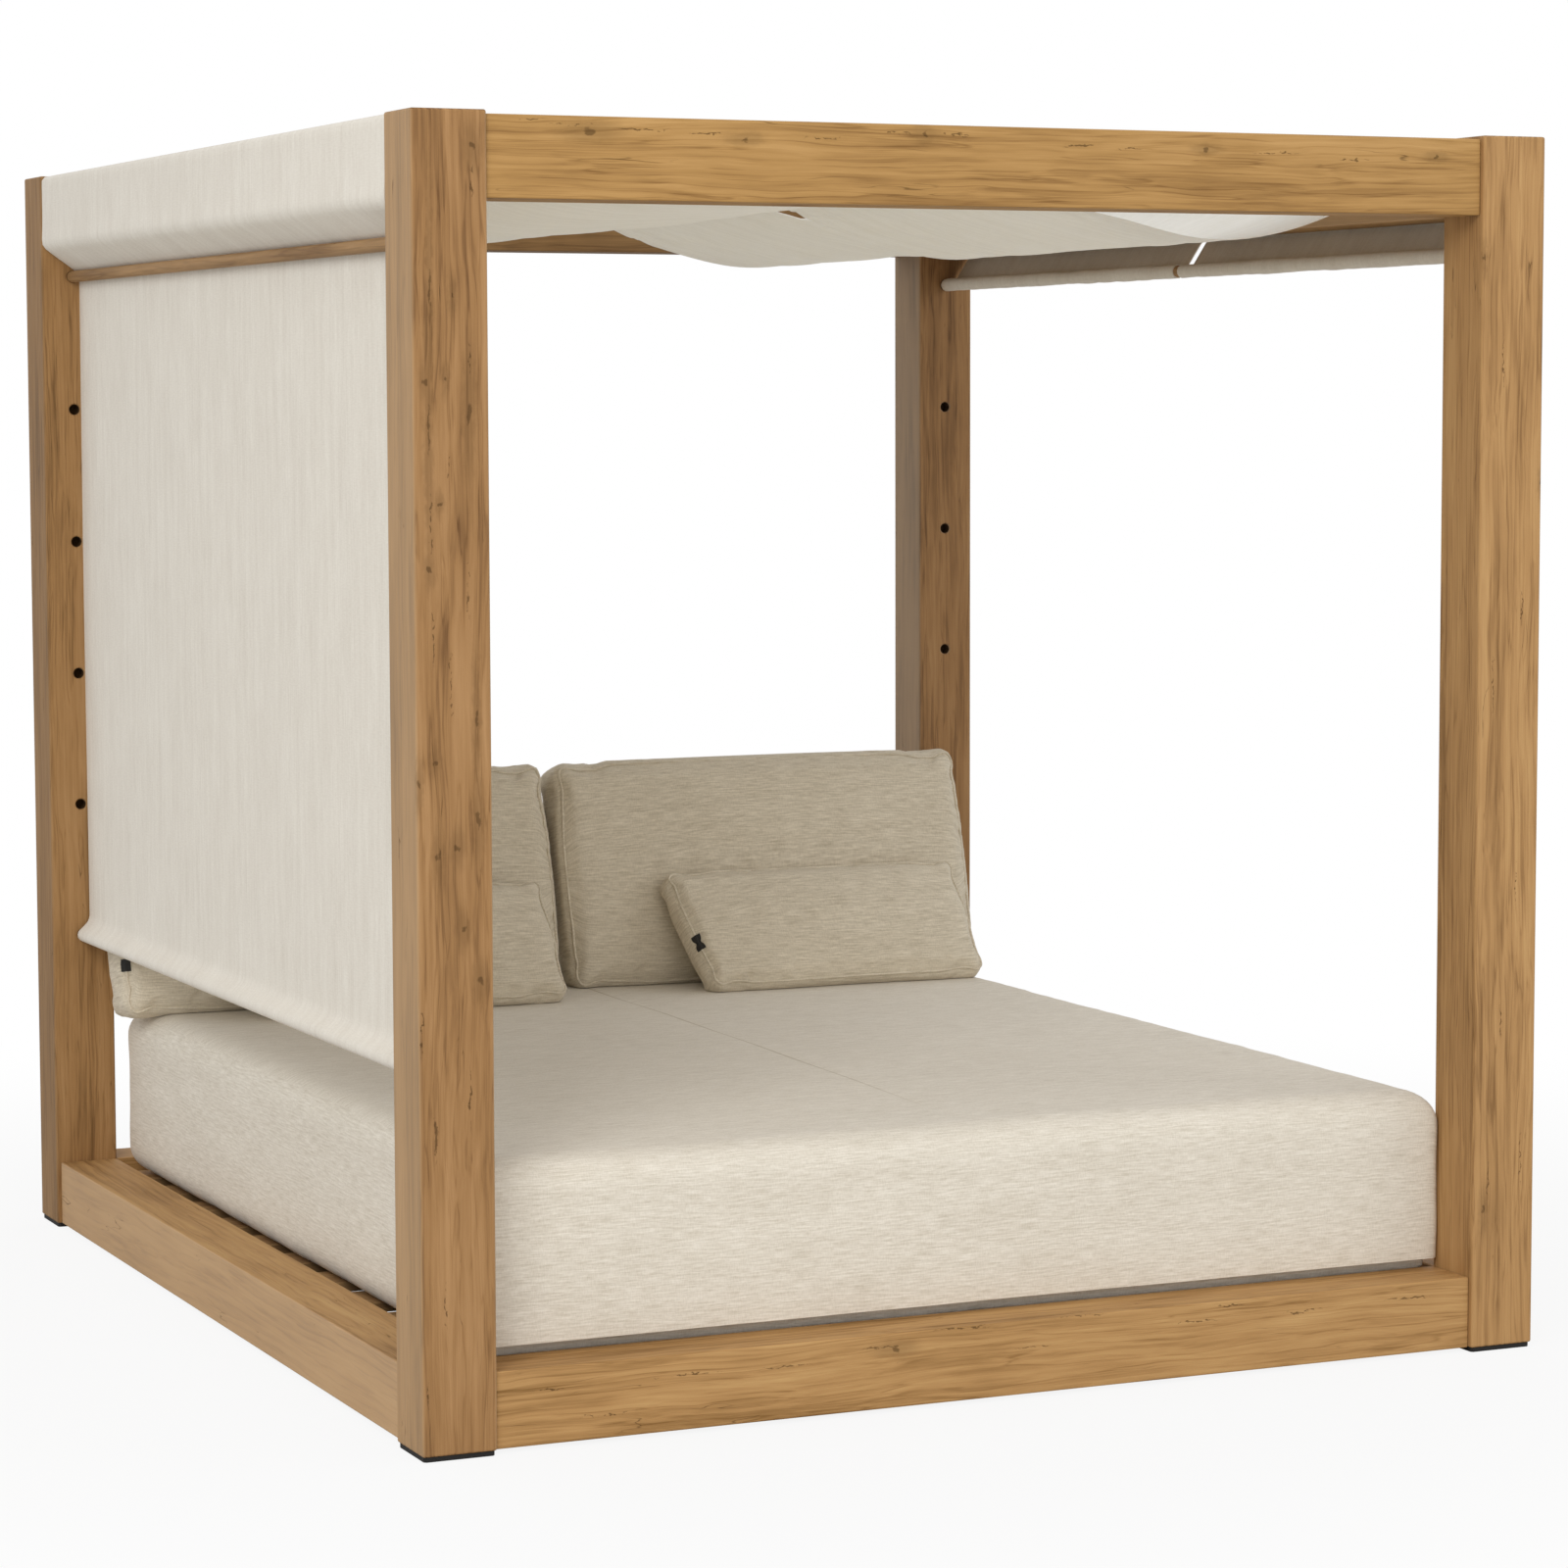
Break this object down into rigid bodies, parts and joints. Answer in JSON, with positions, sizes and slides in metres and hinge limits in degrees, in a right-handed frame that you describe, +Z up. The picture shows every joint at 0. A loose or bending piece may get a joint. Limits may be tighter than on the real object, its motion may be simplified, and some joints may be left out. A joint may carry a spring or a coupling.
{
  "type": "outdoor daybed with canopy",
  "caption": "Square wooden outdoor daybed: thick posts, top beams, fabric roof strips, a lifting side curtain on rods, a deep mattress, back cushions and lumbar cushions.",
  "frame": {"origin": "on the ground, in the middle of the daybed's footprint", "axes": "+X to the right of someone who faces the seat, -Y towards the open front, +Z up"},
  "size_m": [2.15, 2.43, 2.2],
  "materials": {
    "teak": "oiled",
    "rod_wood": "oiled",
    "slat_wood": "sawn",
    "foot_pad": "matte",
    "canvas": "woven",
    "mattress_fabric": "woven",
    "cushion_fabric": "woven"
  },
  "bodies": {
    "frame": {"post_front_left": "teak", "post_front_right": "teak", "post_back_left": "teak", "post_back_right": "teak", "foot_front_left": "foot_pad", "foot_front_right": "foot_pad", "foot_back_left": "foot_pad", "foot_back_right": "foot_pad", "top_beam_front": "teak", "top_beam_back": "teak", "top_beam_left": "teak", "top_beam_right": "teak", "base_rail_front": "teak", "base_rail_back": "teak", "base_rail_left": "teak", "base_rail_right": "teak", "slat_ledger_left": "slat_wood", "slat_ledger_right": "slat_wood", "centre_bearer": "slat_wood", "centre_leg": "slat_wood", "slat_01": "slat_wood", "slat_02": "slat_wood", "slat_03": "slat_wood", "slat_04": "slat_wood", "slat_05": "slat_wood", "slat_06": "slat_wood", "slat_07": "slat_wood", "slat_08": "slat_wood", "slat_09": "slat_wood", "slat_10": "slat_wood", "slat_11": "slat_wood", "backrest_rail": "teak", "upper_rod_left": "rod_wood", "upper_rod_right": "rod_wood", "ridge_rod": "rod_wood", "canopy_front": "canvas", "canopy_back": "canvas", "valance_left": "canvas", "valance_right_front": "canvas", "valance_right_back": "canvas", "side_curtain": "canvas"},
    "curtain_rod": {"hem_rod": "rod_wood", "hem_sleeve": "canvas"},
    "front_peg": {"hem_peg_front": "rod_wood"},
    "back_peg": {"hem_peg_back": "rod_wood"},
    "mattress": {"mattress": "mattress_fabric"},
    "left_back_cushion": {"back_cushion_left": "cushion_fabric"},
    "right_back_cushion": {"back_cushion_right": "cushion_fabric"},
    "left_lumbar_cushion": {"lumbar_cushion_left": "cushion_fabric"},
    "right_lumbar_cushion": {"lumbar_cushion_right": "cushion_fabric"}
  },
  "joints": [
    {"name": "curtain_lift", "type": "slide", "parent": "frame", "child": "curtain_rod", "axis": [0, 0, 1], "range_m": [0, 1.1], "deforming": ["side_curtain"]},
    {"name": "front_peg_slide", "type": "slide", "parent": "curtain_rod", "child": "front_peg", "axis": [0, -1, 0], "range_m": [0, 0.026]},
    {"name": "back_peg_slide", "type": "slide", "parent": "curtain_rod", "child": "back_peg", "axis": [0, 1, 0], "range_m": [0, 0.026]},
    {"name": "mattress_lift", "type": "slide", "parent": "frame", "child": "mattress", "axis": [0, 0, 1], "range_m": [0, 0.25]},
    {"name": "back_cushion_left_lift", "type": "slide", "parent": "mattress", "child": "left_back_cushion", "axis": [0, 0, 1], "range_m": [0, 0.3]},
    {"name": "back_cushion_right_lift", "type": "slide", "parent": "mattress", "child": "right_back_cushion", "axis": [0, 0, 1], "range_m": [0, 0.3]},
    {"name": "lumbar_cushion_left_lift", "type": "slide", "parent": "left_back_cushion", "child": "left_lumbar_cushion", "axis": [0, 0, 1], "range_m": [0, 0.3]},
    {"name": "lumbar_cushion_right_lift", "type": "slide", "parent": "right_back_cushion", "child": "right_lumbar_cushion", "axis": [0, 0, 1], "range_m": [0, 0.3]}
  ]
}
